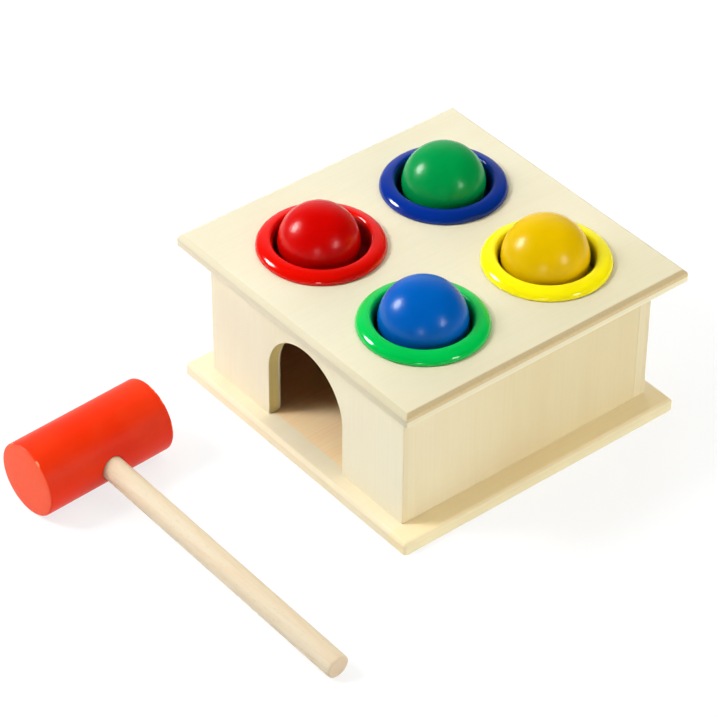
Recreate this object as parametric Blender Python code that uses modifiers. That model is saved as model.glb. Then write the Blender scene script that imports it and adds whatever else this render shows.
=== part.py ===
"""A pounding box: four balls in soft rings in the lid of a plywood box, and a mallet lying in front of it.

Metres, +Z up. The origin is the middle of the base plate's underside, and the doorway faces -Y.
"""

import math

import bmesh
import bpy
from mathutils import Matrix, Vector

PIECE_GAP = 0.0003
MERGE_DISTANCE = 0.00001

BALL_RADIUS = 0.0172
RED_BALL_UNDERSIZE = 0.0011
GREEN_BALL_UNDERSIZE = 0.0005
RED_BALL_LEAN = 0.0009
YELLOW_BALL_LEAN = 0.0005
LEAN_ANGLE = math.radians(231)
BALL_RISE = 0.0022
BALL_SIDE_CLEARANCE = 0.0015
SEAT_CLEARANCE = 0.0003
BALL_LIFT = 0.060

RING_WIDTH = 0.0068
RING_CREST_HEIGHT = 0.0041
RING_INNER_ROLL = 0.0016
RING_SLEEVE_WALL = 0.0014
RING_BEAD_REACH = 0.0006
RING_BEAD_HEIGHT = 0.0020
RING_LIP_THICKNESS = 0.0012
RING_SPACING_X = 0.0102
RING_SPACING_Y = 0.0104
RING_SHIFT_X = 0.0015
RING_ARC_STEPS = 5

WALL_THICKNESS = 0.0057
RING_TO_WALL_X = 0.0006
RING_TO_WALL_Y = 0.0047

LID_TOP = 0.070
LID_THICKNESS = 0.0056
LID_OVERHANG_X = 0.0109
LID_OVERHANG_Y = 0.0082
LID_EDGE_ROUND = 0.0020

BASE_THICKNESS = 0.0057
BASE_OVERHANG_X = 0.0099
BASE_OVERHANG_Y = 0.0068
BASE_CORNER_RADIUS = 0.003
BASE_EDGE_ROUND = 0.0015

DOOR_RADIUS = 0.0228
DOOR_SIDE_HEIGHT = 0.023
DOOR_ARC_STEPS = 24

HEAD_RADIUS = 0.0153
HEAD_LENGTH = 0.0592
HEAD_EDGE_ROUND = 0.0016
HANDLE_RADIUS = 0.0049
HANDLE_REACH = 0.145
HANDLE_CHAMFER = 0.0008
HANDLE_SEAT_DEPTH = 0.020
HAMMER_X = -0.0415
HAMMER_TO_BASE = 0.0361
HAMMER_TURN = math.radians(2.7)

RING_STEPS = 40
BALL_SEGMENTS = 32
ROUND_STEPS = 40
CORNER_STEPS = 6
HEAD_EDGE_STEPS = 3
LID_BEVEL_SEGMENTS = 3
BASE_BEVEL_SEGMENTS = 2
BEVEL_ANGLE = math.radians(40)

RING_INNER_RADIUS = BALL_RADIUS + BALL_SIDE_CLEARANCE
RING_OUTER_RADIUS = RING_INNER_RADIUS + RING_WIDTH
SLEEVE_OUTER_RADIUS = RING_INNER_RADIUS + RING_SLEEVE_WALL
BEAD_RADIUS = SLEEVE_OUTER_RADIUS + RING_BEAD_REACH
HOLE_RADIUS = SLEEVE_OUTER_RADIUS + PIECE_GAP
HOLE_PITCH_X = 2 * RING_OUTER_RADIUS + RING_SPACING_X
HOLE_PITCH_Y = 2 * RING_OUTER_RADIUS + RING_SPACING_Y

BOX_LENGTH_X = HOLE_PITCH_X + 2 * (RING_SHIFT_X + BEAD_RADIUS + RING_TO_WALL_X + WALL_THICKNESS)
BOX_LENGTH_Y = HOLE_PITCH_Y + 2 * (BEAD_RADIUS + RING_TO_WALL_Y + WALL_THICKNESS)
LID_LENGTH_X = BOX_LENGTH_X + 2 * LID_OVERHANG_X
LID_LENGTH_Y = BOX_LENGTH_Y + 2 * LID_OVERHANG_Y
BASE_LENGTH_X = BOX_LENGTH_X + 2 * BASE_OVERHANG_X
BASE_LENGTH_Y = BOX_LENGTH_Y + 2 * BASE_OVERHANG_Y
LID_UNDERSIDE = LID_TOP - LID_THICKNESS
WALL_FOOT = BASE_THICKNESS + PIECE_GAP
WALL_HEIGHT = LID_UNDERSIDE - PIECE_GAP - WALL_FOOT
HAMMER_Y = -(BASE_LENGTH_Y / 2 + HAMMER_TO_BASE + HEAD_LENGTH / 2)

# Each station's ring, its side of the lid, its ball, that ball's radius and how far it leans to one side.
RED_BALL_RADIUS = BALL_RADIUS - RED_BALL_UNDERSIZE
GREEN_BALL_RADIUS = BALL_RADIUS - GREEN_BALL_UNDERSIZE
STATIONS = [
    {"ring": "red", "side": (-1, -1), "ball": "red", "radius": RED_BALL_RADIUS, "lean": RED_BALL_LEAN},
    {"ring": "green", "side": (1, -1), "ball": "blue", "radius": BALL_RADIUS, "lean": 0},
    {"ring": "yellow", "side": (1, 1), "ball": "yellow", "radius": BALL_RADIUS, "lean": YELLOW_BALL_LEAN},
    {"ring": "blue", "side": (-1, 1), "ball": "green", "radius": GREEN_BALL_RADIUS, "lean": 0},
]
LEAN_DIRECTION = Vector((math.cos(LEAN_ANGLE), math.sin(LEAN_ANGLE), 0))

PLYWOOD = ((0.91, 0.82, 0.61), 0.5)
PAINTED_BEECH = ((0.855, 0.037, 0.009), 0.4)
BARE_BEECH = ((0.87, 0.72, 0.52), 0.6)
RING_ROUGHNESS = 0.15
RING_COLOURS = {
    "red": (0.737, 0.004, 0.0),
    "green": (0.001, 0.533, 0.076),
    "yellow": (1.0, 0.887, 0.007),
    "blue": (0.0015, 0.028, 0.25),
}
BALL_ROUGHNESS = 0.3
BALL_COLOURS = {
    "red": (0.631, 0.002, 0.0003),
    "green": (0.0003, 0.287, 0.045),
    "yellow": (0.79, 0.53, 0.001),
    "blue": (0.0003, 0.093, 0.445),
}


def clear_scene():
    for obj in list(bpy.data.objects):
        bpy.data.objects.remove(obj)


def new_collection(name, hidden=False):
    collection = bpy.data.collections.new(name)
    bpy.context.scene.collection.children.link(collection)
    collection.hide_render = hidden
    return collection


def material(name, colour, roughness):
    made = bpy.data.materials.new(name)
    made.use_nodes = True
    shader = made.node_tree.nodes["Principled BSDF"]
    shader.inputs["Base Color"].default_value = (*colour, 1)
    shader.inputs["Roughness"].default_value = roughness
    shader.inputs["Metallic"].default_value = 0
    return made


def add_mesh(name, mesh, look, location=(0, 0, 0), smooth=False):
    obj = bpy.data.objects.new(name, mesh)
    obj.location = location
    obj.data.materials.append(material(name, *look))
    for polygon in mesh.polygons:
        polygon.use_smooth = smooth
    PARTS.objects.link(obj)
    return obj


def box_mesh(name, size):
    mesh = bpy.data.meshes.new(name)
    shape = bmesh.new()
    bmesh.ops.create_cube(shape, size=1, matrix=Matrix.Diagonal((*size, 1)))
    shape.to_mesh(mesh)
    shape.free()
    return mesh


def cylinder_mesh(name, radius, length, steps):
    mesh = bpy.data.meshes.new(name)
    shape = bmesh.new()
    bmesh.ops.create_cone(
        shape, cap_ends=True, segments=steps, radius1=radius, radius2=radius, depth=length
    )
    shape.to_mesh(mesh)
    shape.free()
    return mesh


def add_cutter(name, mesh, location, rotation=(0, 0, 0), parent=None):
    cutter = bpy.data.objects.new(name, mesh)
    cutter.location = location
    cutter.rotation_euler = rotation
    cutter.parent = parent
    cutter.hide_render = True
    cutter.display_type = "WIRE"
    CUTTERS.objects.link(cutter)
    return cutter


def cut(obj, cutter):
    boolean = obj.modifiers.new("Cut " + cutter.name, "BOOLEAN")
    boolean.operation = "DIFFERENCE"
    boolean.solver = "EXACT"
    boolean.object = cutter


def round_edges(obj, width, segments):
    bevel = obj.modifiers.new("Rounded edges", "BEVEL")
    bevel.width = width
    bevel.segments = segments
    bevel.limit_method = "ANGLE"
    bevel.angle_limit = BEVEL_ANGLE


def arc(centre, radii, start, end, steps):
    """Points of an elliptical arc in a plane, from one angle to another in degrees."""
    turns = [math.radians(start + (end - start) * i / steps) for i in range(steps + 1)]
    return [
        (centre[0] + radii[0] * math.cos(turn), centre[1] + radii[1] * math.sin(turn))
        for turn in turns
    ]


def plate_curve(name, outline, thickness, look):
    """A flat panel: the closed outline, filled on both faces, lying in the curve's XY plane."""
    curve = bpy.data.curves.new(name, "CURVE")
    curve.dimensions = "2D"
    curve.fill_mode = "BOTH"
    curve.extrude = thickness / 2
    spline = curve.splines.new("POLY")
    spline.points.add(len(outline) - 1)
    for point, (x, y) in zip(spline.points, outline):
        point.co = (x, y, 0, 1)
    spline.use_cyclic_u = True
    obj = bpy.data.objects.new(name, curve)
    curve.materials.append(material(name, *look))
    PARTS.objects.link(obj)
    return obj


def turned(name, profile, look, steps, location=(0, 0, 0)):
    """A solid of revolution about the object's Z axis. The closed profile runs down its outer side at +X."""
    mesh = bpy.data.meshes.new(name)
    count = len(profile)
    edges = [(i, (i + 1) % count) for i in range(count)]
    if min(radius for radius, height in profile) == 0:
        edges.pop()
    mesh.from_pydata([(radius, 0, height) for radius, height in profile], edges, [])
    obj = add_mesh(name, mesh, look, location)
    screw = obj.modifiers.new("Turned", "SCREW")
    screw.axis = "Z"
    screw.steps = steps
    screw.render_steps = steps
    screw.use_merge_vertices = True
    screw.merge_threshold = MERGE_DISTANCE
    screw.use_smooth_shade = True
    return obj


def station_centre(station):
    side_x, side_y = station["side"]
    return Vector(
        (RING_SHIFT_X + side_x * HOLE_PITCH_X / 2, side_y * HOLE_PITCH_Y / 2, LID_TOP)
    )


def ball_centre(station):
    return station_centre(station) + LEAN_DIRECTION * station["lean"] + Vector((0, 0, BALL_RISE))


def lip_top():
    """The lip's upper face, below the lid's top, at the foot of the ring's sleeve."""
    return -(LID_THICKNESS + PIECE_GAP + RING_BEAD_HEIGHT) + RING_LIP_THICKNESS


def lip_radius(station):
    """The ring's lip clears the ball that it holds, also on the side to which the ball leans."""
    ball_radius = station["radius"]
    depth = BALL_RISE - lip_top()
    section = math.sqrt(ball_radius**2 - min(depth, ball_radius) ** 2)
    return section + station["lean"] + SEAT_CLEARANCE


def build_lid():
    size = (LID_LENGTH_X, LID_LENGTH_Y, LID_THICKNESS)
    lid = add_mesh("lid", box_mesh("lid", size), PLYWOOD, (0, 0, LID_TOP - LID_THICKNESS / 2))
    round_edges(lid, LID_EDGE_ROUND, LID_BEVEL_SEGMENTS)
    for station in STATIONS:
        centre = station_centre(station) - Vector((0, 0, LID_THICKNESS / 2))
        name = "hole_" + station["ring"]
        hole = cylinder_mesh(name, HOLE_RADIUS, 2 * LID_THICKNESS, RING_STEPS)
        cut(lid, add_cutter(name, hole, centre))


def build_base():
    half_x = BASE_LENGTH_X / 2 - BASE_CORNER_RADIUS
    half_y = BASE_LENGTH_Y / 2 - BASE_CORNER_RADIUS
    corners = [((half_x, half_y), 0), ((-half_x, half_y), 90)]
    corners += [((-half_x, -half_y), 180), ((half_x, -half_y), 270)]
    outline = []
    radii = (BASE_CORNER_RADIUS, BASE_CORNER_RADIUS)
    for centre, start in corners:
        outline += arc(centre, radii, start, start + 90, CORNER_STEPS)
    base = plate_curve("base_plate", outline, BASE_THICKNESS, PLYWOOD)
    base.location = (0, 0, BASE_THICKNESS / 2)
    weld = base.modifiers.new("Weld", "WELD")
    weld.merge_threshold = MERGE_DISTANCE
    round_edges(base, BASE_EDGE_ROUND, BASE_BEVEL_SEGMENTS)


def build_front_wall():
    half_x = BOX_LENGTH_X / 2
    outline = [(DOOR_RADIUS, 0), (half_x, 0), (half_x, WALL_HEIGHT), (-half_x, WALL_HEIGHT)]
    outline += [(-half_x, 0), (-DOOR_RADIUS, 0)]
    springing = (0, DOOR_SIDE_HEIGHT)
    outline += arc(springing, (DOOR_RADIUS, DOOR_RADIUS), 180, 0, DOOR_ARC_STEPS)
    wall = plate_curve("front_wall", outline, WALL_THICKNESS, PLYWOOD)
    wall.rotation_euler = (math.pi / 2, 0, 0)
    wall.location = (0, (WALL_THICKNESS - BOX_LENGTH_Y) / 2, WALL_FOOT)


def build_plain_walls():
    side_length = BOX_LENGTH_Y - 2 * (WALL_THICKNESS + PIECE_GAP)
    side_place = (BOX_LENGTH_X - WALL_THICKNESS) / 2
    middle = WALL_FOOT + WALL_HEIGHT / 2
    panels = [
        ("back_wall", (BOX_LENGTH_X, WALL_THICKNESS), (0, (BOX_LENGTH_Y - WALL_THICKNESS) / 2)),
        ("left_wall", (WALL_THICKNESS, side_length), (-side_place, 0)),
        ("right_wall", (WALL_THICKNESS, side_length), (side_place, 0)),
    ]
    for name, (length_x, length_y), (x, y) in panels:
        mesh = box_mesh(name, (length_x, length_y, WALL_HEIGHT))
        add_mesh(name, mesh, PLYWOOD, (x, y, middle))


def ring_profile(station):
    """The ring's closed section, as radius and height above the lid's top."""
    crest_radius = RING_INNER_RADIUS + RING_INNER_ROLL
    slope = (RING_OUTER_RADIUS - crest_radius, RING_CREST_HEIGHT - PIECE_GAP)
    roll = (RING_INNER_ROLL, RING_CREST_HEIGHT - PIECE_GAP)
    bead_top = -(LID_THICKNESS + PIECE_GAP)
    foot = bead_top - RING_BEAD_HEIGHT
    profile = arc((crest_radius, PIECE_GAP), roll, 180, 90, RING_ARC_STEPS - 1)
    profile += arc((crest_radius, PIECE_GAP), slope, 90, 0, RING_ARC_STEPS)[1:]
    profile += [(SLEEVE_OUTER_RADIUS, PIECE_GAP), (SLEEVE_OUTER_RADIUS, bead_top)]
    profile += [(BEAD_RADIUS, bead_top - RING_BEAD_REACH / 2), (SLEEVE_OUTER_RADIUS, foot)]
    profile += [(lip_radius(station), foot), (lip_radius(station), lip_top())]
    profile += [(RING_INNER_RADIUS, lip_top())]
    return profile


def build_ring(station):
    name = "ring_" + station["ring"]
    look = (RING_COLOURS[station["ring"]], RING_ROUGHNESS)
    turned(name, ring_profile(station), look, RING_STEPS, station_centre(station))


def build_ball(station):
    name = "ball_" + station["ball"]
    mesh = bpy.data.meshes.new(name)
    shape = bmesh.new()
    bmesh.ops.create_uvsphere(
        shape,
        u_segments=BALL_SEGMENTS,
        v_segments=BALL_SEGMENTS // 2,
        radius=station["radius"],
    )
    shape.to_mesh(mesh)
    shape.free()
    look = (BALL_COLOURS[station["ball"]], BALL_ROUGHNESS)
    add_mesh(name, mesh, look, ball_centre(station), smooth=True)


def hammer_empty():
    """Stands at the middle of the head. Its X axis runs down the handle, whose far end lies on the floor."""
    fall = math.asin((HEAD_RADIUS - HANDLE_RADIUS) / HANDLE_REACH)
    empty = bpy.data.objects.new("hammer", None)
    empty.location = (HAMMER_X, HAMMER_Y, HEAD_RADIUS)
    empty.rotation_euler = (0, fall, HAMMER_TURN)
    PARTS.objects.link(empty)
    return empty


def build_hammer():
    empty = hammer_empty()
    half = HEAD_LENGTH / 2
    profile = [(0, half)]
    profile += arc(
        (HEAD_RADIUS - HEAD_EDGE_ROUND, half - HEAD_EDGE_ROUND),
        (HEAD_EDGE_ROUND, HEAD_EDGE_ROUND),
        90,
        0,
        HEAD_EDGE_STEPS,
    )
    profile += [(radius, -height) for radius, height in reversed(profile)]
    head = turned("hammer_head", profile, PAINTED_BEECH, ROUND_STEPS)
    head.rotation_euler = (math.pi / 2, 0, 0)
    head.parent = empty

    socket_floor = HEAD_RADIUS - HANDLE_SEAT_DEPTH
    socket_length = 2 * HEAD_RADIUS - socket_floor
    socket = add_cutter(
        "handle_socket",
        cylinder_mesh("handle_socket", HANDLE_RADIUS + PIECE_GAP, socket_length, ROUND_STEPS),
        (socket_floor + socket_length / 2, 0, 0),
        (0, math.pi / 2, 0),
        empty,
    )
    cut(head, socket)

    inner_end = socket_floor + PIECE_GAP
    handle_profile = [
        (0, HANDLE_REACH),
        (HANDLE_RADIUS - HANDLE_CHAMFER, HANDLE_REACH),
        (HANDLE_RADIUS, HANDLE_REACH - HANDLE_CHAMFER),
        (HANDLE_RADIUS, inner_end + HANDLE_CHAMFER),
        (HANDLE_RADIUS - HANDLE_CHAMFER, inner_end),
        (0, inner_end),
    ]
    handle = turned("hammer_handle", handle_profile, BARE_BEECH, ROUND_STEPS)
    handle.rotation_euler = (0, math.pi / 2, 0)
    handle.parent = empty


def print_joint_values():
    for station in STATIONS:
        centre = ball_centre(station)
        drop = centre.z - station["radius"] - BASE_THICKNESS - PIECE_GAP
        print(f"ball_{station['ball']}: centre {centre}, slide -{drop:.5f} to {BALL_LIFT:.3f}")


clear_scene()
PARTS = new_collection("pounding_box")
CUTTERS = new_collection("cutters", hidden=True)

build_base()
build_front_wall()
build_plain_walls()
build_lid()
for place in STATIONS:
    build_ring(place)
    build_ball(place)
build_hammer()
print_joint_values()
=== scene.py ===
import math

import bmesh
import bpy
from mathutils import Matrix, Vector


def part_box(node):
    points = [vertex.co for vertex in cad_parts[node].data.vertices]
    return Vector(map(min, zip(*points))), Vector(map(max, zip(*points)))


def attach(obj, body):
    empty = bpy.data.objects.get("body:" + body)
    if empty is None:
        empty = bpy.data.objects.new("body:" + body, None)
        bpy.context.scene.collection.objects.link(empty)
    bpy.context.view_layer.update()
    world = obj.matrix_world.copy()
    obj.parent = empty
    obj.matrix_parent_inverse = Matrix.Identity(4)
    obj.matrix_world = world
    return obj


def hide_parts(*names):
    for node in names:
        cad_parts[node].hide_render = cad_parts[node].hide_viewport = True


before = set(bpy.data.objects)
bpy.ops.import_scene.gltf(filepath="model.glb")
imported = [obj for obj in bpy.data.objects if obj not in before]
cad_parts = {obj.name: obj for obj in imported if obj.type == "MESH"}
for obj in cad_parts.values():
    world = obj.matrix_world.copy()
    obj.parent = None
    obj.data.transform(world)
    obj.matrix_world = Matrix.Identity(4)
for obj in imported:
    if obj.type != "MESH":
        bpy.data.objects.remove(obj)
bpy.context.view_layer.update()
print("frame loaded with", len(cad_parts), "CAD nodes")

scene = bpy.context.scene
for startupName in ("Cube", "Light", "Camera"):
    startupObject = bpy.data.objects.get(startupName)
    if startupObject:
        bpy.data.objects.remove(startupObject)


# Node work: a wire is one output socket, and Python's operators on it add Math nodes.
class wire:
    def __init__(self, board, socket):
        self.board = board
        self.socket = socket

    def worked(self, operation, first, second=None):
        values = {0: first} if second is None else {0: first, 1: second}
        return self.board.add("ShaderNodeMath", {"operation": operation}, values)

    def __add__(self, other):
        return self.worked("ADD", self, other)

    def __sub__(self, other):
        return self.worked("SUBTRACT", self, other)

    def __rsub__(self, other):
        return self.worked("SUBTRACT", other, self)

    def __mul__(self, other):
        return self.worked("MULTIPLY", self, other)

    def __abs__(self):
        return self.worked("ABSOLUTE", self)

    def within(self, low, high):  # 0 at low, 1 at high, smooth between them
        settings = {"interpolation_type": "SMOOTHSTEP"}
        return self.board.add("ShaderNodeMapRange", settings, {0: self, 1: low, 2: high})

    def atMost(self, other):
        return self.worked("MINIMUM", self, other)

    def atLeast(self, other):
        return self.worked("MAXIMUM", self, other)

    __radd__ = __add__
    __rmul__ = __mul__


class nodeBoard:
    def __init__(self, tree):
        self.tree = tree

    def add(self, kind, settings=None, sockets=None, output=0):
        node = self.tree.nodes.new(kind)
        for name, value in (settings or {}).items():
            setattr(node, name, value)
        for name, value in (sockets or {}).items():
            self.feed(node.inputs[name], value)
        return wire(self, node.outputs[output])

    def feed(self, entry, value):
        if isinstance(value, wire):
            self.tree.links.new(value.socket, entry)
        elif isinstance(value, tuple) and entry.type == "RGBA":
            entry.default_value = (*value, 1)
        else:
            entry.default_value = value

    def blend(self, factor, first, second, kind="MIX"):
        settings = {"data_type": "RGBA", "blend_type": kind}
        return self.add("ShaderNodeMix", settings, {0: factor, 6: first, 7: second}, 2)

    def stretched(self, coordinates, scale, offset=(0, 0, 0)):
        sockets = {"Vector": coordinates, "Scale": scale, "Location": offset}
        return self.add("ShaderNodeMapping", None, sockets)

    def noise(self, coordinates, scale=1, detail=3, roughness=0.5, distortion=0):
        sockets = {"Vector": coordinates, "Scale": scale, "Detail": detail}
        sockets |= {"Roughness": roughness, "Distortion": distortion}
        return self.add("ShaderNodeTexNoise", None, sockets)

    def axes(self, vector):
        return [self.add("ShaderNodeSeparateXYZ", None, {0: vector}, i) for i in range(3)]


class finish(nodeBoard):
    def __init__(self, name):
        self.material = bpy.data.materials.new(name)
        self.material.use_nodes = True
        super().__init__(self.material.node_tree)
        self.shader = self.tree.nodes["Principled BSDF"]
        self.place = self.add("ShaderNodeTexCoord", None, None, 3)
        self.facing = self.add("ShaderNodeTexCoord", None, None, 1)

    def surface(self, colour, roughness, height=None, depth=0.0001, **fixed):
        self.feed(self.shader.inputs["Base Color"], colour)
        self.feed(self.shader.inputs["Roughness"], roughness)
        if height is not None:
            sockets = {"Height": height, "Distance": depth, "Strength": 1.0}
            self.feed(self.shader.inputs["Normal"], self.add("ShaderNodeBump", None, sockets))
        for name, value in fixed.items():
            self.shader.inputs[name.replace("_", " ")].default_value = value
        return self.material


# Plywood: a paper-thin face veneer, a cross-grained ply whose cut end grain shows dark, then pale plies.
plywood = {
    "veneerPale": (0.91, 0.835, 0.63),
    "veneerWarm": (0.86, 0.755, 0.52),
    "veneerBlush": (0.88, 0.77, 0.57),
    "crossEnd": (0.73, 0.57, 0.335),
    "crossLong": (0.82, 0.73, 0.52),
    "innerPale": (0.85, 0.77, 0.575),
    "innerWarm": (0.80, 0.69, 0.47),
    "glueLine": (0.58, 0.45, 0.27),
    "innerVeneer": 0.0011,
    "glueWidth": 0.00016,
    "fibreWidth": 0.00045,
    "figureStretch": 9,
    "sideBlend": (0.0007, 0.0001),
    "streakWidth": 0.0011,
    "streakLength": 0.05,
    "figureWidth": 0.014,
    "roughness": 0.60,
    "lacquer": 0.01,
    "sheen": 0.09,
    "pores": 0.00003,
    "streakShow": 0.32,
    "figureShow": 0.28,
    "blushShow": 0.4,
    "poreShow": 0.12,
    "fibreShow": 0.12,
    "roughnessSpread": 0.12,
    "coreRoughness": 0.2,
}
insideBareAndShade = {
    # the floor: bare wood, brightened and reddened as painted light from the doorway and warm light bounced
    # inside
    "pale": (1.0, 0.76, 0.43),
    "warm": (0.97, 0.58, 0.30),
    # painted shade: the walls' inner faces nearly black-red, for the dark inside of the closed box
    "wall": ((0.36, 0.070, 0.002), (0.27, 0.050, 0.001)),
    "roughness": 0.85,
    "depthFromOutside": 0.0024,
    "edge": 0.0003,
    "floorSides": (0.0536, 0.0542),
    "faceSides": (0.0536, 0.0539),
    "faceDepth": (0.0056, 0.00568),
}


def plywoodFinish(node, values, insideFrom):
    low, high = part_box(node)
    thin, grain = values["thin"], values["grain"]
    made = finish(node + "Plywood")
    place = made.axes(made.place)
    facing = made.axes(made.facing)
    cross = 3 - thin - grain

    streakScale, figureScale, poreScale = [0, 0, 0], [0, 0, 0], [0, 0, 0]
    for axis in range(3):
        along = axis == grain
        streakScale[axis] = 1 / (plywood["streakLength"] if along else plywood["streakWidth"])
        figureScale[axis] = 1 / (plywood["figureWidth"] * (plywood["figureStretch"] if along else 1))
        poreScale[axis] = 1 / (plywood["streakWidth"] * (1.6 if along else 0.16))
    seed = tuple(7.3 * (ord(letter) % 11) for letter in node[:3])
    streaks = made.noise(made.stretched(made.place, streakScale, seed), 1, 4, 0.62, 0.2)
    figure = made.noise(made.stretched(made.place, figureScale, seed), 1, 3, 0.5, 1.1)
    pores = made.noise(made.stretched(made.place, poreScale, seed), 1, 2, 0.7)
    patches = made.noise(made.place, 26, 2, 0.5)

    pale, warm = plywood["veneerPale"], plywood["veneerWarm"]
    veneer = made.blend(streaks.within(0.35, 0.75) * plywood["streakShow"], pale, warm)
    veneer = made.blend(figure.within(0.45, 0.72) * plywood["figureShow"], veneer, warm)
    veneer = made.blend(patches.within(0.5, 0.8) * plywood["blushShow"], veneer, plywood["veneerBlush"])
    veneer = made.blend(pores.within(0.60, 0.75) * plywood["poreShow"], veneer, plywood["crossEnd"])

    # Depth below the outer face decides the ply, so that rounded edges cut through the plies as real ones do.
    depth = high[thin] - place[thin] if values["outward"] > 0 else place[thin] - low[thin]
    line = depth + (patches - 0.5) * 0.00012 + (streaks - 0.5) * 0.00008
    crossTop, crossFoot = values["crossPly"]
    inner = high[thin] - low[thin] - plywood["innerVeneer"]
    core = line.within(crossTop - 0.00007, crossTop + 0.00007)
    crossPly = core * (1 - line.within(crossFoot - 0.0001, crossFoot + 0.0001))
    core = core * (1 - line.within(inner - 0.0001, inner + 0.0001))
    glue = 1 - (abs(line - crossFoot).atMost(abs(line - inner))).within(0.0, plywood["glueWidth"])

    fibres = made.noise(made.stretched(made.place, [1 / plywood["fibreWidth"]] * 3, seed), 1, 3, 0.6)
    endOn = abs(facing[cross]).within(0.30, 0.62)
    if thin == 2:  # a rounded edge belongs to the nearer side
        endOn = ((abs(place[0]) - high.x) - (abs(place[1]) - high.y)).within(-0.0005, 0.0005)
    endOn = endOn * values["endTone"]
    crossWood = made.blend(endOn, plywood["crossLong"], plywood["crossEnd"])
    tears = made.noise(made.place, 900, 3, 0.7).within(0.50, 0.68)
    crossWood = made.blend(tears * (endOn * 0.34 + 0.06), crossWood, plywood["glueLine"])
    fibreShow = fibres.within(0.4, 0.7) * plywood["fibreShow"]
    innerPly = made.blend(fibreShow, plywood["innerPale"], plywood["innerWarm"])
    wood = made.blend(core * values["plyShow"], veneer, innerPly)
    wood = made.blend(crossPly * values["plyShow"], wood, crossWood)
    wood = made.blend(glue * (endOn * 0.14 + 0.02), wood, plywood["glueLine"])
    onSide = abs(place[0]).within(*(high.x - inset for inset in plywood["sideBlend"]))
    # painted light and shade: each panel's tint, and its own tint on the faces toward +X and -X
    tint = made.blend(onSide, values["tint"], values["sideTint"])
    wood = made.blend(1.0, wood, tint, "MULTIPLY")
    # painted shade: a tint that ramps in along one axis of the panel
    if node in paintedFalloffs:
        falloff = paintedFalloffs[node]
        shadedWood = made.blend(1.0, wood, falloff["tone"], "MULTIPLY")
        wood = made.blend(place[falloff["along"]].within(*falloff["spread"]), wood, shadedWood)
    if node == "front_wall":
        # painted warm shade: in the doorway the core ply's end grain is multiplied yellower and darker, as the
        # jambs and arch in shade
        inDoor = 1 - abs(place[0]).within(doorway["radius"], doorway["radius"] + 0.0002)
        wood = made.blend(inDoor * core, wood, doorway["tone"], "MULTIPLY")
    roughness = plywood["roughness"] + (streaks - 0.5) * plywood["roughnessSpread"]
    roughness = roughness + core * plywood["coreRoughness"]
    lacquer = plywood["lacquer"]
    if insideFrom is not None:
        bare = insideFrom(place, depth)
        # bare wood inside, painted brighter and redder on the floor, and painted shade on the walls' inner faces
        pale, warm = (insideBareAndShade["pale"], insideBareAndShade["warm"]) if thin == 2 else insideBareAndShade["wall"]
        insideWoodAndShade = made.blend(streaks.within(0.3, 0.8) * 0.5, pale, warm)
        wood = made.blend(bare, wood, insideWoodAndShade)
        roughness = roughness + bare * (insideBareAndShade["roughness"] - plywood["roughness"])
        lacquer = (1 - bare) * lacquer

    height = streaks * 0.5 - pores.within(0.55, 0.8) * 0.6 + fibres * core * 0.8
    made.feed(made.shader.inputs["Coat Weight"], lacquer)
    fixed = {"Coat_Roughness": 0.3, "Specular_IOR_Level": plywood["sheen"]}
    return made.surface(wood, roughness, height, plywood["pores"], **fixed)


def placed(name, source, place):
    graph = bpy.context.evaluated_depsgraph_get()
    mesh = bpy.data.meshes.new_from_object(source.evaluated_get(graph), depsgraph=graph)
    mesh.name = name
    mesh.transform(place)
    bpy.data.objects.remove(source)
    piece = bpy.data.objects.new(name, mesh)
    scene.collection.objects.link(piece)
    return piece


def weld(mesh):
    shape = bmesh.new()
    shape.from_mesh(mesh)
    bmesh.ops.remove_doubles(shape, verts=shape.verts, dist=1e-6)
    bmesh.ops.recalc_face_normals(shape, faces=shape.faces)
    shape.to_mesh(mesh)
    shape.free()


def settle(piece, body, node, material):
    piece.data.materials.clear()
    piece.data.materials.append(material)
    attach(piece, body)
    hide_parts(node)


def arcPoints(centre, radiusX, radiusY, start, end, steps):
    turns = [math.radians(start + (end - start) * i / steps) for i in range(steps + 1)]
    return [(centre[0] + radiusX * math.cos(t), centre[1] + radiusY * math.sin(t)) for t in turns]


def roundedRectangle(halfX, halfY, radius, steps=8):
    corners = [((halfX - radius, halfY - radius), 0), ((radius - halfX, halfY - radius), 90)]
    corners += [((radius - halfX, radius - halfY), 180), ((halfX - radius, radius - halfY), 270)]
    outline = []
    for centre, start in corners:
        outline += arcPoints(centre, radius, radius, start, start + 90, steps)
    return outline


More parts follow.
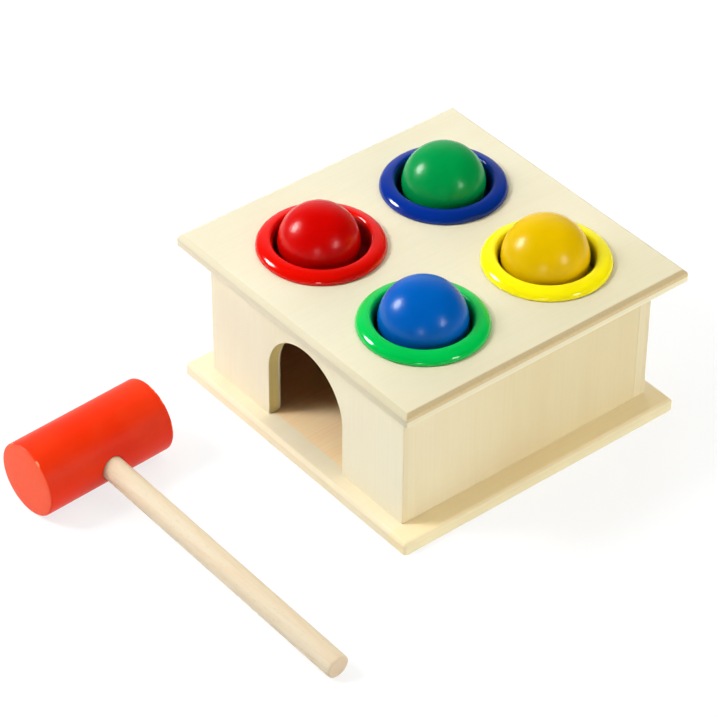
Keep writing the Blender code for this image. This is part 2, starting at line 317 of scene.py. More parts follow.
def sawnPanel(name, outlines, thickness, edge, place, roundedSide):
    curve = bpy.data.curves.new(name + "Outline", "CURVE")
    curve.dimensions = "2D"
    curve.fill_mode = "BOTH"
    curve.extrude = thickness / 2
    for outline in outlines:
        spline = curve.splines.new("POLY")
        spline.points.add(len(outline) - 1)
        for point, (x, y) in zip(spline.points, outline):
            point.co = (x, y, 0, 1)
        spline.use_cyclic_u = True
    drawn = bpy.data.objects.new(name + "Outline", curve)
    scene.collection.objects.link(drawn)
    blank = placed(name + "Blank", drawn, Matrix.Identity(4))

    shape = bmesh.new()
    shape.from_mesh(blank.data)
    bmesh.ops.remove_doubles(shape, verts=shape.verts, dist=1e-6)
    bmesh.ops.dissolve_limit(shape, angle_limit=math.radians(1), verts=shape.verts, edges=shape.edges)
    bmesh.ops.recalc_face_normals(shape, faces=shape.faces)
    for face in shape.faces:
        face.smooth = True
    weights = shape.edges.layers.float.new("bevel_weight_edge")
    reach = max(abs(corner.co.x) for corner in shape.verts)
    for sawn in shape.edges:
        heights = [corner.co.z * roundedSide for corner in sawn.verts]
        corner = sawn.calc_face_angle(0) > math.radians(40)
        rounded = corner and min(heights) > 0
        inner = min(abs(corner.co.x) for corner in sawn.verts) < reach - 0.001
        sawn[weights] = (edge["innerShare"] if inner else 1.0) if rounded else 0.0
        sawn.smooth = rounded or not corner
    shape.to_mesh(blank.data)
    shape.free()

    soften = blank.modifiers.new("Sanded edges", "BEVEL")
    soften.width, soften.segments, soften.profile = edge["round"], edge["steps"], edge["fullness"]
    soften.limit_method = "WEIGHT"
    soften.harden_normals = True
    soften.use_clamp_overlap = True
    return placed(name, blank, place)


def sandedPanel(name, half, corner, thickness, edge, holes, place):
    # Outlines stacked from face to face: a rounding wider than the plan corner's radius still closes cleanly.
    # An extra outline beside each rounding keeps its shading off the flat faces.
    levels = []
    for side, width in ((1, edge["round"]), (-1, edge["under"])):
        turned = [(width + edge["beside"], thickness / 2)]
        for step in range(edge["steps"] + 1):
            t = step / edge["steps"]
            full, turn = edge["fullness"], t * math.pi / 2  # fullness 0 is a flat chamfer and 1 a quarter round
            across = full * (1 - math.sin(turn)) + (1 - full) * (1 - t)
            down = full * (1 - math.cos(turn)) + (1 - full) * t
            turned.append((width * across, thickness / 2 - width * down))
        turned.append((0, thickness / 2 - width - edge["below"]))
        levels += turned if side > 0 else [(inset, -height) for inset, height in reversed(turned)]
    shape = bmesh.new()

    def loop(outline, height):
        corners = [shape.verts.new((x, y, height)) for x, y in outline]
        return corners, [shape.edges.new(pair) for pair in zip(corners, corners[1:] + corners[:1])]

    def wall(upper, lower):
        for i in range(len(upper)):
            shape.faces.new((upper[i - 1], lower[i - 1], lower[i], upper[i]))

    rims = []
    for inset, height in levels:
        outline = roundedRectangle(half[0] - inset, half[1] - inset, max(corner - inset, 0.0001), 5)
        rims.append(loop(outline, height))
    for upper, lower in zip(rims, rims[1:]):
        wall(upper[0], lower[0])
    top, bottom = list(rims[0][1]), list(rims[-1][1])
    for outline in holes:
        (upper, upperEdges), (lower, lowerEdges) = loop(outline, thickness / 2), loop(outline, -thickness / 2)
        wall(upper, lower)
        top += upperEdges
        bottom += lowerEdges
        for rim in upperEdges + lowerEdges:
            rim.smooth = False
    for edges in (top, bottom):
        bmesh.ops.triangle_fill(shape, use_beauty=True, use_dissolve=False, edges=edges)
    bmesh.ops.recalc_face_normals(shape, faces=shape.faces)
    for face in shape.faces:
        face.smooth = True
    mesh = bpy.data.meshes.new(name)
    shape.to_mesh(mesh)
    shape.free()
    blank = bpy.data.objects.new(name + "Blank", mesh)
    scene.collection.objects.link(blank)
    return placed(name, blank, place)


lidEdge = {"round": 0.0021, "under": 0.0004, "steps": 6, "fullness": 0.3, "beside": 0.0003, "below": 0.0002}
baseEdge = {"round": 0.0015, "under": 0.0005, "steps": 6, "fullness": 0.6, "beside": 0.0003, "below": 0.0002}
frontEdge = {"round": 0.0011, "innerShare": 0.35, "steps": 4, "fullness": 0.5}
sideEdge = {"round": 0.00006, "innerShare": 1.0, "steps": 1, "fullness": 0.5}
panels = {  # thin and grain are axis numbers; the plies run from the outer face inward
    "lid": {"edge": lidEdge, "corner": 0.0011, "thin": 2, "grain": 1},
    "base_plate": {"edge": baseEdge, "corner": 0.0017, "thin": 2, "grain": 1, "endTone": 0.04},
    "front_wall": {"edge": frontEdge, "corner": 0.0004, "thin": 1, "grain": 2, "outward": -1, "seated": (0, 1)},
    "back_wall": {"edge": frontEdge, "corner": 0.0004, "thin": 1, "grain": 2, "seated": (0, 1)},
    "left_wall": {"edge": sideEdge, "corner": 0.0001, "thin": 0, "grain": 2, "outward": -1, "seated": (1, 1)},
    "right_wall": {"edge": sideEdge, "corner": 0.0001, "thin": 0, "grain": 2, "seated": (1, 1)},
}
panels["lid"] |= {"endTone": 1.0, "crossPly": (0.0001, 0.00285), "plyShow": 1.0}
panelDefaults = {"outward": 1, "endTone": 0.1, "crossPly": (0.0003, 0.0023), "plyShow": 0.3, "seated": (0, 0)}
# each panel's tone, with painted shade in it: the right wall darker and yellower for its side in shade, the
# front wall a little darker
panelTonesAndShade = {
    "lid": (0.843, 0.847, 0.845),
    "base_plate": (0.965, 0.925, 0.870),
    "front_wall": (0.942, 0.958, 0.958),
    "right_wall": (0.92, 0.88, 0.785),
}
# painted light and shade by facing: the walls' ends as dark and yellow as the right wall's shaded face, the
# lid's ends a little lighter
sideTints = {  # on the sides that face +X and -X
    "lid": (1.04, 1.05, 1.04),
    "base_plate": (1.01, 1.02, 0.98),
    "front_wall": panelTonesAndShade["right_wall"],
    "back_wall": panelTonesAndShade["right_wall"],
}
paintedFalloffs = {  # painted shade: the lid darker toward +X as the light falls off, the right wall darker toward the back, the base's strip outside the right wall yellower as the box's warm shade
    "right_wall": {"along": 1, "spread": (-0.050, 0.005), "tone": (0.955, 0.930, 0.855)},
    "lid": {"along": 0, "spread": (0.010, 0.066), "tone": (0.930, 0.925, 0.885)},
    "base_plate": {"along": 0, "spread": (0.0585, 0.0600), "tone": (1.03, 0.99, 0.90)},
}
seatReach = 0.0003  # a wall's visible board closes the sawing gap to its neighbours
# the doorway's tone is painted warm shade on its end grain
doorway = {"radius": 0.0228, "springHeight": 0.023, "steps": 48, "tone": (1.0, 0.89, 0.50)}
ringHole = {"radius": 0.0204, "steps": 96}

stations = {  # each ring with the ball that sits in it
    "ring_red": ("ball_red", "red_ball"),
    "ring_green": ("ball_blue", "blue_ball"),
    "ring_yellow": ("ball_yellow", "yellow_ball"),
    "ring_blue": ("ball_green", "green_ball"),
}


def middleOf(node):
    low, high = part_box(node)
    return (low + high) / 2


# The inside of the box is bare wood: the floor between the walls, and the walls' own inner faces. The floor's
# tone there is brightened and reddened as painted light, and the walls' inner faces are painted nearly black-red
# as painted shade inside the closed box.
def insideFloor(place, depth):
    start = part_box("front_wall")[0].y + insideBareAndShade["depthFromOutside"]
    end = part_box("back_wall")[0].y + insideBareAndShade["depthFromOutside"]
    edge = insideBareAndShade["edge"]
    along = place[1].within(start - edge, start + edge) * (1 - place[1].within(end - edge, end + edge))
    return along * (1 - abs(place[0]).within(*insideBareAndShade["floorSides"]))


def insideFace(place, depth):
    return depth.within(*insideBareAndShade["faceDepth"]) * (1 - abs(place[0]).within(*insideBareAndShade["faceSides"]))


def makePanel(node):
    values = panelDefaults | panels[node]
    values["tint"] = panelTonesAndShade.get(node, (1.0, 1.0, 1.0))
    values["sideTint"] = sideTints.get(node, values["tint"])
    low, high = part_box(node)
    size, centre = high - low, (low + high) / 2
    thin = values["thin"]
    flat = {0: (1, 2), 1: (0, 2), 2: (0, 1)}[thin]
    halfU, halfV = (size[axis] / 2 + seatReach * seated for axis, seated in zip(flat, values["seated"]))
    corner = values["corner"]
    outlines = [roundedRectangle(halfU, halfV, corner)]
    if node == "front_wall":
        radius = doorway["radius"]
        outline = [(radius, -halfV)]
        inU, inV = halfU - corner, halfV - corner
        for spot, start in (((inU, -inV), -90), ((inU, inV), 0), ((-inU, inV), 90), ((-inU, -inV), 180)):
            outline += arcPoints(spot, corner, corner, start, start + 90, 4)
        outline += [(-radius, -halfV)]
        spring = low.z - centre.z + doorway["springHeight"]
        outline += arcPoints((0, spring), radius, radius, 180, 0, doorway["steps"])
        outlines = [outline]
    holes = []
    if node == "lid":
        hole, steps = ringHole["radius"], ringHole["steps"]
        for ring in stations:
            middle = middleOf(ring) - centre
            holes.append(arcPoints((middle.x, middle.y), hole, hole, 0, 360, steps)[:-1])
    turns = {
        0: Matrix(((0, 0, 1), (1, 0, 0), (0, 1, 0))),
        1: Matrix(((1, 0, 0), (0, 0, -1), (0, 1, 0))),
        2: Matrix.Identity(3),
    }
    place = Matrix.Translation(centre) @ turns[thin].to_4x4()
    if thin == 2:
        panel = sandedPanel(node + "_ply", (halfU, halfV), corner, size[thin], values["edge"], holes, place)
    else:
        outerSide = values["outward"] if thin == 0 else -values["outward"]
        panel = sawnPanel(node + "_ply", outlines, size[thin], values["edge"], place, outerSide)
    bare = {"base_plate": insideFloor, "lid": None}.get(node, insideFace)
    settle(panel, "box", node, plywoodFinish(node, values, bare))


for panelNode in panels:
    makePanel(panelNode)
print("plywood panels made:", len(panels))


# Rings: soft glossy mouldings, each with a fat flange over the hole, a sleeve through it, a bead and a lip.
ringShape = {
    "innerRadius": 0.0187,
    "outerRadius": 0.0255,
    "crestHeight": 0.0041,
    "innerRoll": 0.0018,
    "flangeFoot": 0.0003,
    "footRound": 0.0002,
    "sleeveRadius": 0.0201,
    "beadReach": 0.001,
    "lipThickness": 0.0012,
    "lipClearance": 0.0003,
    "steps": 160,
}
ringColours = {
    "ring_red": {"body": (0.76, 0.004, 0.001), "slot": "red_ring"},
    "ring_green": {"body": (0.001, 0.53, 0.077), "slot": "green_ring"},
    "ring_yellow": {"body": (0.96, 0.83, 0.004), "slot": "yellow_ring"},
    "ring_blue": {"body": (0.002, 0.028, 0.265), "slot": "blue_ring"},
}

ringSurface = {
    "roughness": 0.09,
    "smudges": 0.05,
    "boreRoughness": 0.5,
    # painted shade in the ring's hole, as a share of the body colour
    "boreShade": 0.45,
    "mottleTone": 0.86,
    "ripples": 0.00006,
    "gloss": 0.35,
}


def shapeTree(name, inputs):
    tree = bpy.data.node_groups.new(name, "GeometryNodeTree")
    for label, kind in inputs.items():
        tree.interface.new_socket(name=label, in_out="INPUT", socket_type="NodeSocket" + kind)
    tree.interface.new_socket(name="Shape", in_out="OUTPUT", socket_type="NodeSocketGeometry")
    board = nodeBoard(tree)
    entry = tree.nodes.new("NodeGroupInput")
    return board, {socket.name: wire(board, socket) for socket in entry.outputs if socket.name}


def finishedTree(board, shaped, material):
    shaped = board.add("GeometryNodeSetShadeSmooth", None, {"Geometry": shaped})
    shaped = board.add("GeometryNodeRealizeInstances", None, {"Geometry": shaped})
    shaped = board.add("GeometryNodeSetMaterial", None, {"Geometry": shaped, "Material": material})
    result = board.tree.nodes.new("NodeGroupOutput")
    board.tree.links.new(shaped.socket, result.inputs[0])
    return board.tree


def ringTree():
    inputs = {"Profile": "Geometry", "Seat Radius": "Float", "Steps Round": "Int", "Finish": "Material"}
    board, given = shapeTree("softRing", inputs)
    path = board.add(
        "GeometryNodeCurvePrimitiveCircle",
        {"mode": "RADIUS"},
        {"Resolution": given["Steps Round"], "Radius": given["Seat Radius"]},
    )
    path = board.add("GeometryNodeSetCurveNormal", {"mode": "Z_UP"}, {"Curve": path})
    curves = {"Curve": path, "Profile Curve": given["Profile"]}
    swept = board.add("GeometryNodeCurveToMesh", None, curves)
    return finishedTree(board, swept, given["Finish"])


def setInputs(modifier, values):
    for socket in modifier.node_group.interface.items_tree:
        if socket.item_type == "SOCKET" and socket.in_out == "INPUT" and socket.name in values:
            modifier[socket.identifier] = values[socket.name]


def ringProfile(node):
    values = ringShape
    low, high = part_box(node)
    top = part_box("lid")[1].z
    foot = low.z - top
    inner, outer, sleeve = values["innerRadius"], values["outerRadius"], values["sleeveRadius"]
    crest = inner + values["innerRoll"]
    floorLine = values["flangeFoot"] + values["footRound"]
    rise = values["crestHeight"] - floorLine
    points = arcPoints((crest, floorLine), values["innerRoll"], rise, 180, 90, 12)
    points += arcPoints((crest, floorLine), outer - crest, rise, 90, 0, 18)[1:]
    turned = values["footRound"]
    points += arcPoints((outer - turned, floorLine), turned, turned, 0, -90, 4)[1:]
    bead = values["beadReach"]
    points += [(sleeve + 0.0003, values["flangeFoot"]), (sleeve, 0.0), (sleeve, foot + 2 * bead)]
    points += arcPoints((sleeve, foot + bead), bead, 0.95 * bead, 80, -80, 8)

    # The lip reaches in under the ball, as far as the ball's own roundness allows at that height.
    ballNode = stations[node][0]
    ballLow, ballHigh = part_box(ballNode)
    radius = (ballHigh.z - ballLow.z) / 2
    lipTop = foot + values["lipThickness"]
    drop = (ballLow.z + radius) - (top + lipTop)
    lean = (middleOf(ballNode) - middleOf(node)).to_2d().length
    lip = math.sqrt(radius**2 - min(drop, radius) ** 2) + lean + values["lipClearance"]
    points += [(lip + 0.0004, foot), (lip, foot + 0.0004), (lip, lipTop - 0.0003), (lip + 0.0003, lipTop)]
    points += arcPoints((inner - 0.0008, lipTop + 0.0008), 0.0008, 0.0008, -90, 0, 6)
    return points


def ringFinish(node):
    values = ringColours[node]
    made = finish(node + "Moulding")
    mottle = made.noise(made.place, 60, 2)
    darker = tuple(channel * ringSurface["mottleTone"] for channel in values["body"])
    colour = made.blend(mottle.within(0.35, 0.7) * 0.5, values["body"], darker)
    ripples = made.noise(made.place, 210, 2, 0.4)
    smudge = made.noise(made.place, 95, 4, 0.6)
    centre = middleOf(node)
    inward = made.stretched(made.place, (1, 1, 0), (-centre.x, -centre.y, 0))
    out = made.add("ShaderNodeVectorMath", {"operation": "LENGTH"}, {0: inward}, 1)
    # painted shade: inside its inner edge, where the hole is, the ring's colour drops to 45 %, and it is rougher
    # there
    bore = 1 - out.within(ringShape["innerRadius"] + 0.0001, ringShape["innerRadius"] + 0.0010)
    colour = made.blend(bore, colour, tuple(channel * ringSurface["boreShade"] for channel in values["body"]))
    roughness = ringSurface["roughness"] + smudge.within(0.4, 0.75) * ringSurface["smudges"]
    roughness = roughness + bore * ringSurface["boreRoughness"]
    gloss = ringSurface["gloss"]
    return made.surface(colour, roughness, ripples, ringSurface["ripples"], Specular_IOR_Level=gloss)


softRing = ringTree()
for ringNode in stations:
    profile = bpy.data.curves.new(ringNode + "Profile", "CURVE")
    profile.dimensions = "2D"
    spline = profile.splines.new("POLY")
    seat = ringShape["sleeveRadius"]
    outline = ringProfile(ringNode)
    spline.points.add(len(outline) - 1)
    for point, (radius, height) in zip(spline.points, outline):
        point.co = (radius - seat, -height, 0, 1)  # the sweep turns the profile's Y axis down
    spline.use_cyclic_u = True
    source = bpy.data.objects.new(ringNode + "Profile", profile)
    scene.collection.objects.link(source)
    sweep = source.modifiers.new("Swept", "NODES")
    sweep.node_group = softRing
    material = ringFinish(ringNode)
    setInputs(sweep, {"Seat Radius": seat, "Steps Round": ringShape["steps"], "Finish": material})
    middle = middleOf(ringNode)
    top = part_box("lid")[1].z
    ring = placed(ringNode + "_soft", source, Matrix.Translation((middle.x, middle.y, top)))
    weld(ring.data)
    settle(ring, "box", ringNode, material)
print("soft rings made:", len(stations))


# Balls: turned wood under glossy paint, with the faint flats that turning leaves at two ends.
ballShape = {"poleFlat": 0.00003, "waviness": 0.00005, "subdivisions": 6, "seed": 3.0}
ballPaint = {
    "ball_red": {"body": (0.565, 0.0013, 0.0005), "slot": "red_paint", "pole": (-0.5, 0.8, -0.3)},
    "ball_blue": {"body": (0.00015, 0.097, 0.425), "slot": "blue_paint", "pole": (-0.8, 0.3, 0.1)},
    "ball_yellow": {"body": (0.715, 0.445, 0.0003), "slot": "yellow_paint", "pole": (-0.3, 0.9, -0.1)},
    "ball_green": {"body": (0.0003, 0.272, 0.058), "slot": "green_paint", "pole": (-0.6, 0.7, 0.2)},
}

ballSurface = {
    "roughness": 0.235,
    "roughnessSpread": 0.04,
    "lighter": 1.12,
    "speckTone": 0.6,
    "grainHeight": 0.6,
    "peel": 0.00007,
    "gloss": 0.18,
}


def ballTree():
    inputs = {"Radius": "Float", "Pole Flat": "Float", "Pole Direction": "Vector", "Waviness": "Float"}
    inputs |= {"Seed": "Float", "Subdivisions": "Int", "Finish": "Material"}
    board, given = shapeTree("turnedBall", inputs)
    sizes = {"Radius": given["Radius"], "Subdivisions": given["Subdivisions"]}
    sphere = board.add("GeometryNodeMeshIcoSphere", None, sizes)
    place = board.add("GeometryNodeInputPosition")
    pole = board.add("ShaderNodeVectorMath", {"operation": "NORMALIZE"}, {0: given["Pole Direction"]})
    along = board.add("ShaderNodeVectorMath", {"operation": "DOT_PRODUCT"}, {0: place, 1: pole}, 1)
    over = (abs(along) - (given["Radius"] - given["Pole Flat"])).atLeast(0.0)
    side = board.add("ShaderNodeMath", {"operation": "SIGN"}, {0: along})
    scaled = {"operation": "SCALE"}
    flatten = board.add("ShaderNodeVectorMath", scaled, {0: pole, "Scale": over * side * -1.0})
    lumpy = {"Vector": place, "W": given["Seed"], "Scale": 70.0, "Detail": 1.0}
    lumps = board.add("ShaderNodeTexNoise", {"noise_dimensions": "4D"}, lumpy)
    normal = board.add("GeometryNodeInputNormal")
    inward = (lumps - 0.75) * given["Waviness"]  # below 0, so that the ball stays inside its CAD sphere
    wave = board.add("ShaderNodeVectorMath", scaled, {0: normal, "Scale": inward})
    moved = board.add("ShaderNodeVectorMath", {"operation": "ADD"}, {0: flatten, 1: wave})
    shaped = board.add("GeometryNodeSetPosition", None, {"Geometry": sphere, "Offset": moved})
    return finishedTree(board, shaped, given["Finish"])


def ballFinish(node):
    values = ballPaint[node]
    made = finish(node + "Paint")
    centre = middleOf(node)
    centred = made.stretched(made.place, (1, 1, 1), tuple(-centre))
    grain = made.noise(made.stretched(centred, (420, 90, 420)), 1, 3, 0.6, 0.3)
    cloud = made.noise(centred, 75, 2)
    lighter = tuple(min(1, channel * ballSurface["lighter"]) for channel in values["body"])
    colour = made.blend(cloud.within(0.35, 0.7) * 0.6, values["body"], lighter)
    specks = made.noise(centred, 900, 2).within(0.68, 0.76)
    darker = tuple(channel * ballSurface["speckTone"] for channel in values["body"])
    colour = made.blend(specks * 0.10, colour, darker)
    height = made.noise(centred, 330, 2, 0.45) + grain * ballSurface["grainHeight"]
    roughness = ballSurface["roughness"] + cloud.within(0.3, 0.8) * ballSurface["roughnessSpread"]
    return made.surface(colour, roughness, height, ballSurface["peel"], Specular_IOR_Level=ballSurface["gloss"])


turnedBall = ballTree()
for ballNode, ballBody in stations.values():
    low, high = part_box(ballNode)
    holder = bpy.data.objects.new(ballNode + "Maker", bpy.data.meshes.new(ballNode + "Maker"))
    scene.collection.objects.link(holder)
    turning = holder.modifiers.new("Turned ball", "NODES")
    turning.node_group = turnedBall
    material = ballFinish(ballNode)
    radius = (high.z - low.z) / 2
    values = {"Radius": radius, "Seed": ballShape["seed"] + radius * 900, "Waviness": ballShape["waviness"]}
    values |= {"Pole Flat": ballShape["poleFlat"], "Pole Direction": ballPaint[ballNode]["pole"]}
    values |= {"Subdivisions": ballShape["subdivisions"], "Finish": material}
    setInputs(turning, values)
    ball = placed(ballNode + "_turned", holder, Matrix.Translation((low + high) / 2))
    settle(ball, ballBody, ballNode, material)
print("balls made:", len(stations))


# Mallet: a painted head bored for a bare beech dowel, lying with the dowel's far end on the floor.
mallet = {
    "headX": -0.0415,
    "headY": -0.1343,
    "headRadius": 0.0153,
    "headLength": 0.0592,
    "headRound": 0.0010,
    "handleRadius": 0.0049,
    "handleReach": 0.145,
    "handleRound": 0.0009,
    "seatDepth": 0.020,
    "socketClearance": 0.00025,
    "glueGap": 0.0004,
    "turn": math.radians(2.7),
}
malletFinish = {
    "paint": (0.82, 0.026, 0.0015),
    "paintThin": (0.93, 0.110, 0.030),
    # lighter orange for the rim's specks: chipped paint and painted glints
    "chipsAndGlints": (0.95, 0.42, 0.22),
    "beech": (0.755, 0.64, 0.46),
    "beechDark": (0.74, 0.54, 0.34),
    "fleck": (0.50, 0.31, 0.17),
    "endGrain": (0.70, 0.53, 0.36),
    "paintRoughness": 0.40,
    "paintSpread": 0.08,
    "paintPeel": 0.00009,
    "paintGloss": 0.16,
    "beechRoughness": 0.56,
    "beechSpread": 0.15,
    "beechPores": 0.00005,
}


def malletPlace():
    fall = math.asin((mallet["headRadius"] - mallet["handleRadius"]) / mallet["handleReach"])
    turned = Matrix.Rotation(mallet["turn"], 4, "Z") @ Matrix.Rotation(fall, 4, "Y")
    return Matrix.Translation((mallet["headX"], mallet["headY"], mallet["headRadius"])) @ turned


def lathe(name, profile, steps):
    # Laid face by face, since Blender's own spin puts them in another order each run.
    shape = bmesh.new()
    turns = [math.tau * i / steps for i in range(steps)]
    rows = []
    for radius, height in profile:
        spots = [(radius * math.cos(t), radius * math.sin(t), height) for t in (turns if radius else turns[:1])]
        rows.append([shape.verts.new(spot) for spot in spots])
    for upper, lower in zip(rows, rows[1:]):
        for i in range(steps):
            corners = [row[j % len(row)] for row, j in ((upper, i - 1), (lower, i - 1), (lower, i), (upper, i))]
            shape.faces.new(list(dict.fromkeys(corners)))  # a row on the axis is one point, taken once
    bmesh.ops.recalc_face_normals(shape, faces=shape.faces)
    mesh = bpy.data.meshes.new(name)
    shape.to_mesh(mesh)
    shape.free()
    for polygon in mesh.polygons:
        polygon.use_smooth = True
    mesh.set_sharp_from_angle(angle=math.radians(50))
    made = bpy.data.objects.new(name, mesh)
    scene.collection.objects.link(made)
    return made


def headFinish():
    made = finish("malletHeadPaint")
    back = made.stretched(made.place, (1, 1, 1), (-mallet["headX"], -mallet["headY"], -mallet["headRadius"]))
    grain = made.noise(made.stretched(back, (700, 38, 700)), 1, 4, 0.6, 0.3)
    cloud = made.noise(back, 48, 3)
    endFacing = abs(made.axes(made.facing)[1])
    ends = endFacing.within(0.6, 0.95)
    rings = made.noise(made.stretched(back, (260, 20, 260)), 1, 3, 0.55, 1.2)
    colour = made.blend(cloud.within(0.35, 0.75) * 0.15, malletFinish["paint"], malletFinish["paintThin"])
    colour = made.blend(ends * (0.5 + rings * 0.4), colour, malletFinish["paintThin"])
    # partly wear, partly painted highlight: lighter orange specks on the rounded rim between the ends and the
    # side
    rim = endFacing.within(0.15, 0.35) * (1 - endFacing.within(0.85, 0.98))
    chipAndGlintSpots = made.noise(back, 160, 2, 0.5).within(0.58, 0.64)
    colour = made.blend(rim * chipAndGlintSpots * 0.7, colour, malletFinish["chipsAndGlints"])
    peel = made.noise(back, 420, 2, 0.5)
    roughness = malletFinish["paintRoughness"] + cloud.within(0.3, 0.8) * malletFinish["paintSpread"]
    height = grain * 0.5 + peel * 0.5 + rings * ends * 0.6
    gloss = malletFinish["paintGloss"]
    return made.surface(colour, roughness, height, malletFinish["paintPeel"], Specular_IOR_Level=gloss)


def handleFinish():
    made = finish("bareBeech")
    back = made.stretched(made.place, (1, 1, 1), (-mallet["headX"], -mallet["headY"], 0))
    turning = {"Vector": back, "Angle": -mallet["turn"]}
    turned = made.add("ShaderNodeVectorRotate", {"rotation_type": "Z_AXIS"}, turning)
    streaks = made.noise(made.stretched(turned, (16, 900, 900)), 1, 4, 0.6, 0.3)
    bands = made.noise(made.stretched(turned, (7, 260, 260)), 1, 2, 0.5, 0.8)
    flecks = made.noise(made.stretched(turned, (420, 2600, 2600)), 1, 1, 0.5)
    ends = abs(made.axes(made.facing)[0]).within(0.55, 0.95)
    colour = made.blend(streaks.within(0.4, 0.75) * 0.55, malletFinish["beech"], malletFinish["beechDark"])
    colour = made.blend(bands.within(0.45, 0.75) * 0.5, colour, malletFinish["beechDark"])
    colour = made.blend(flecks.within(0.66, 0.74) * 0.35, colour, malletFinish["fleck"])
    colour = made.blend(ends * 0.8, colour, malletFinish["endGrain"])
    roughness = malletFinish["beechRoughness"] + (streaks - 0.5) * malletFinish["beechSpread"]
    height = streaks - flecks.within(0.6, 0.75) * 0.8
    return made.surface(colour, roughness, height, malletFinish["beechPores"])


place = malletPlace()
half, headRadius = mallet["headLength"] / 2, mallet["headRadius"]
edge = mallet["headRound"]
quarter = arcPoints((headRadius - edge, half - edge), edge, edge, 90, 0, 8)
headProfile = [(0, half), (headRadius * 0.5, half), *quarter]
headProfile += [(headRadius, half * i / 6) for i in range(5, -6, -1)]
headProfile += [(radius, -height) for radius, height in reversed(quarter)]
headProfile += [(headRadius * 0.5, -half), (0, -half)]
head = lathe("mallet_head_blank", headProfile, 128)
head.rotation_euler = (math.pi / 2, 0, 0)  # the boolean works in world space, where the bore is turned too
socketFloor = headRadius - mallet["seatDepth"]
socketRadius = mallet["handleRadius"] + mallet["socketClearance"]
boreProfile = [(0, 0.03), (socketRadius, 0.03), (socketRadius, socketFloor), (0, socketFloor)]
bore = lathe("mallet_bore", boreProfile, 96)
bore.rotation_euler = (0, math.pi / 2, 0)
bpy.context.view_layer.update()
drill = head.modifiers.new("Bored", "BOOLEAN")
drill.operation = "DIFFERENCE"
drill.solver = "EXACT"
drill.object = bore
headPiece = placed("mallet_head", head, place @ Matrix.Rotation(math.pi / 2, 4, "X"))
bpy.data.objects.remove(bore)
weld(headPiece.data)
headPiece.data.set_sharp_from_angle(angle=math.radians(35))
settle(headPiece, "hammer", "hammer_head", headFinish())

reach, rounded, handleRadius = mallet["handleReach"], mallet["handleRound"], mallet["handleRadius"]
seatEnd = socketFloor + mallet["glueGap"]
endCurve = arcPoints((handleRadius - rounded, reach - rounded), rounded, rounded, 90, 0, 6)
handleProfile = [(0, reach), (handleRadius * 0.5, reach), *endCurve]
handleProfile += [(handleRadius, seatEnd + 0.0008), (handleRadius - 0.0008, seatEnd), (0, seatEnd)]
handle = lathe("mallet_handle_blank", handleProfile, 96)
handlePiece = placed("mallet_handle", handle, place @ Matrix.Rotation(math.pi / 2, 4, "Y"))
handlePiece.data.set_sharp_from_angle(angle=math.radians(35))
settle(handlePiece, "hammer", "hammer_handle", handleFinish())
print("mallet made")


# Studio: a pale floor that keeps a soft shadow and shows white, a dim surround, and soft lamps placed as the
# photograph's shading tells: many for matte surfaces alone, and three small ones for the gleams on the balls.
studio = {
    "floorColour": (0.80, 0.80, 0.80),
    "floorShadow": 0.32,  # share of the floor's colour that takes light and shadow where it is seen
    "floorLift": 0.77,  # its own light there
    "floorFade": (0.34, 0.8, 0.12),  # where that light's fade starts and ends, and the share left beyond
    "backdrop": (-0.75, 0.61, 0.26),
    "backdropGlow": 0.8,
    "horizonGlow": 0.10,
    "horizonFade": (0.13, 0.22),
    "target": (0.0, 0.0, 0.06),
    # azimuth from +X and elevation in degrees, share of full light, size, colour, shown to matte, shown to gloss
    "lamps": {
        "keyHigh": (-124, 44, 0.60, (0.35, 0.35), (1.0, 1.0, 1.0), True, False),
        "keyLow": (-124, 30, 0.08, (0.35, 0.35), (0.85, 0.90, 1.0), True, False),
        "left": (-160, 12, 0.29, (0.9, 0.7), (0.80, 0.94, 1.0), True, False),
        "leftPanel": (-142.6, 31.3, 0.11, (1.6, 1.2), (0.75, 0.90, 1.0), True, False),
        "frontFill": (-118, 38, 0.07, (0.9, 0.9), (1.0, 0.90, 0.86), True, False),
        "right": (0, 12, 0.34, (0.9, 0.7), (0.95, 0.98, 1.0), True, False),
        "backRight": (45, 12, 0.30, (0.9, 0.7), (0.99, 0.98, 1.0), True, False),
        "highFront": (-120, 65, 0.20, (0.9, 0.9), (0.82, 0.88, 1.0), True, False),
        "highLeft": (178, 50, 0.09, (0.7, 0.7), (0.88, 0.93, 1.0), True, False),
        "behind": (150, 25, 0.27, (0.8, 0.6), (0.95, 0.97, 1.0), True, False),
        "highRight": (30, 65, 0.30, (0.9, 0.9), (0.98, 0.94, 0.75), True, False),
        "keyGleam": (-140, 28.5, 1.25, (0.42, 0.50), (1.0, 1.0, 1.0), False, True),
        "sideGleam": (11.0, 19.0, 0.27, (0.24, 0.34), (1.0, 1.0, 1.0), False, True),
        "frontGleam": (-44.5, 7.0, 0.10, (0.20, 0.20), (1.0, 1.0, 1.0), False, True),
    },
    "lampDistance": 1.3,
}

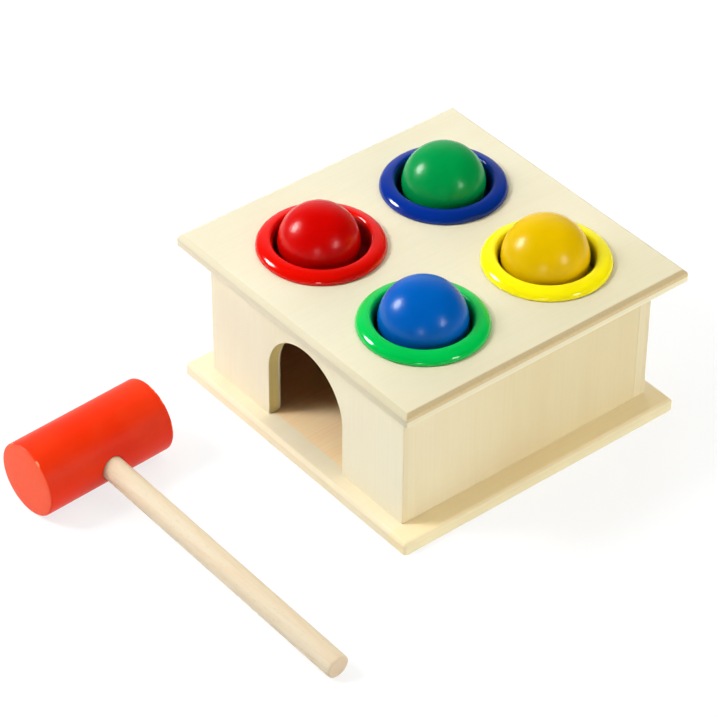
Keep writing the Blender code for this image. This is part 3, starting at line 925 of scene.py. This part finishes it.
floorMesh = bpy.data.meshes.new("studioFloor")
shape = bmesh.new()
bmesh.ops.create_grid(shape, x_segments=1, y_segments=1, size=6)
shape.to_mesh(floorMesh)
shape.free()
floor = bpy.data.objects.new("studioFloor", floorMesh)
scene.collection.objects.link(floor)
floorBoard = finish("studioFloor")
cameraRay, glossyRay, clearRay = [floorBoard.add("ShaderNodeLightPath", None, None, i) for i in (0, 3, 6)]
seen = cameraRay.atLeast(glossyRay).atLeast(clearRay)
shadowed = tuple(channel * studio["floorShadow"] for channel in studio["floorColour"])
floorBoard.surface(floorBoard.blend(seen, studio["floorColour"], shadowed), 0.9, Specular_IOR_Level=0.0)
reach = floorBoard.add("ShaderNodeVectorMath", {"operation": "LENGTH"}, {0: floorBoard.place}, 1)
fadeStart, fadeEnd, fadeTo = studio["floorFade"]
lift = (1 - reach.within(fadeStart, fadeEnd) * (1 - fadeTo)) * studio["floorLift"]
glow = floorBoard.add("ShaderNodeEmission", None, {"Color": (1.0, 1.0, 1.0), "Strength": seen * lift})
lit = wire(floorBoard, floorBoard.shader.outputs[0])
both = floorBoard.add("ShaderNodeAddShader", None, {0: lit, 1: glow})
floorBoard.feed(floorBoard.tree.nodes["Material Output"].inputs["Surface"], both)
floor.data.materials.append(floorBoard.material)

world = bpy.data.worlds.new("studioSurround")
scene.world = world
world.use_nodes = True
sky = nodeBoard(world.node_tree)
background = world.node_tree.nodes["Background"]
around = sky.add("ShaderNodeTexCoord", None, None, 0)
toward = {0: around, 1: studio["backdrop"]}
behind = sky.add("ShaderNodeVectorMath", {"operation": "DOT_PRODUCT"}, toward, 1).atLeast(0.0)
horizon = (1 - sky.axes(around)[2].within(*studio["horizonFade"])) * studio["horizonGlow"]
sky.feed(background.inputs["Color"], (1.0, 1.0, 1.0))
behind = behind * behind
sky.feed(background.inputs["Strength"], behind * behind * behind * studio["backdropGlow"] + horizon)

for name, (azimuth, elevation, share, size, colour, matteShows, glossShows) in studio["lamps"].items():
    lamp = bpy.data.lights.new(name, "AREA")
    lamp.shape = "ELLIPSE"
    lamp.size, lamp.size_y = size
    lamp.energy = share * math.pi**2 * studio["lampDistance"] ** 2
    lamp.color = colour
    lampObject = bpy.data.objects.new(name, lamp)
    lampObject.visible_diffuse, lampObject.visible_glossy = matteShows, glossShows
    # With this on, a lamp for matte surfaces alone still shows faintly in gloss.
    lamp.cycles.use_multiple_importance_sampling = glossShows
    azimuth, elevation = math.radians(azimuth), math.radians(elevation)
    flat = math.cos(elevation)
    away = Vector((math.cos(azimuth) * flat, math.sin(azimuth) * flat, math.sin(elevation)))
    turn = away.to_track_quat("Z", "Y").to_matrix().to_4x4()
    spot = Vector(studio["target"]) + away * studio["lampDistance"]
    lampObject.matrix_world = Matrix.Translation(spot) @ turn
    scene.collection.objects.link(lampObject)
print("studio lit")


# Camera: the photograph's own viewing angle and distance.
view = {
    "azimuth": math.radians(50.834),
    "elevation": math.radians(39.481),
    "roll": math.radians(0.448),
    "distance": 1.2763,
    "slide": (-0.027687, -0.017889),
    "aim": (0.0, 0.0, 0.040),
    "lens": 164.45,
}
azimuth, elevation, roll = view["azimuth"], view["elevation"], view["roll"]
back = Vector(
    (math.sin(azimuth) * math.cos(elevation), -math.cos(azimuth) * math.cos(elevation), math.sin(elevation))
)
right = Vector((math.cos(azimuth), math.sin(azimuth), 0))
upward = back.cross(right)
cameraRight = right * math.cos(roll) + upward * math.sin(roll)
cameraUp = upward * math.cos(roll) - right * math.sin(roll)
slideRight, slideUp = view["slide"]
spot = Vector(view["aim"]) + cameraRight * slideRight + cameraUp * slideUp + back * view["distance"]
cameraData = bpy.data.cameras.new("photoCamera")
cameraData.lens = view["lens"]
cameraData.sensor_width = 36
cameraData.clip_start, cameraData.clip_end = 0.05, 20
camera = bpy.data.objects.new("photoCamera", cameraData)
camera.matrix_world = Matrix.Translation(spot) @ Matrix((cameraRight, cameraUp, back)).transposed().to_4x4()
scene.collection.objects.link(camera)
scene.camera = camera
scene.view_settings.view_transform = "Standard"
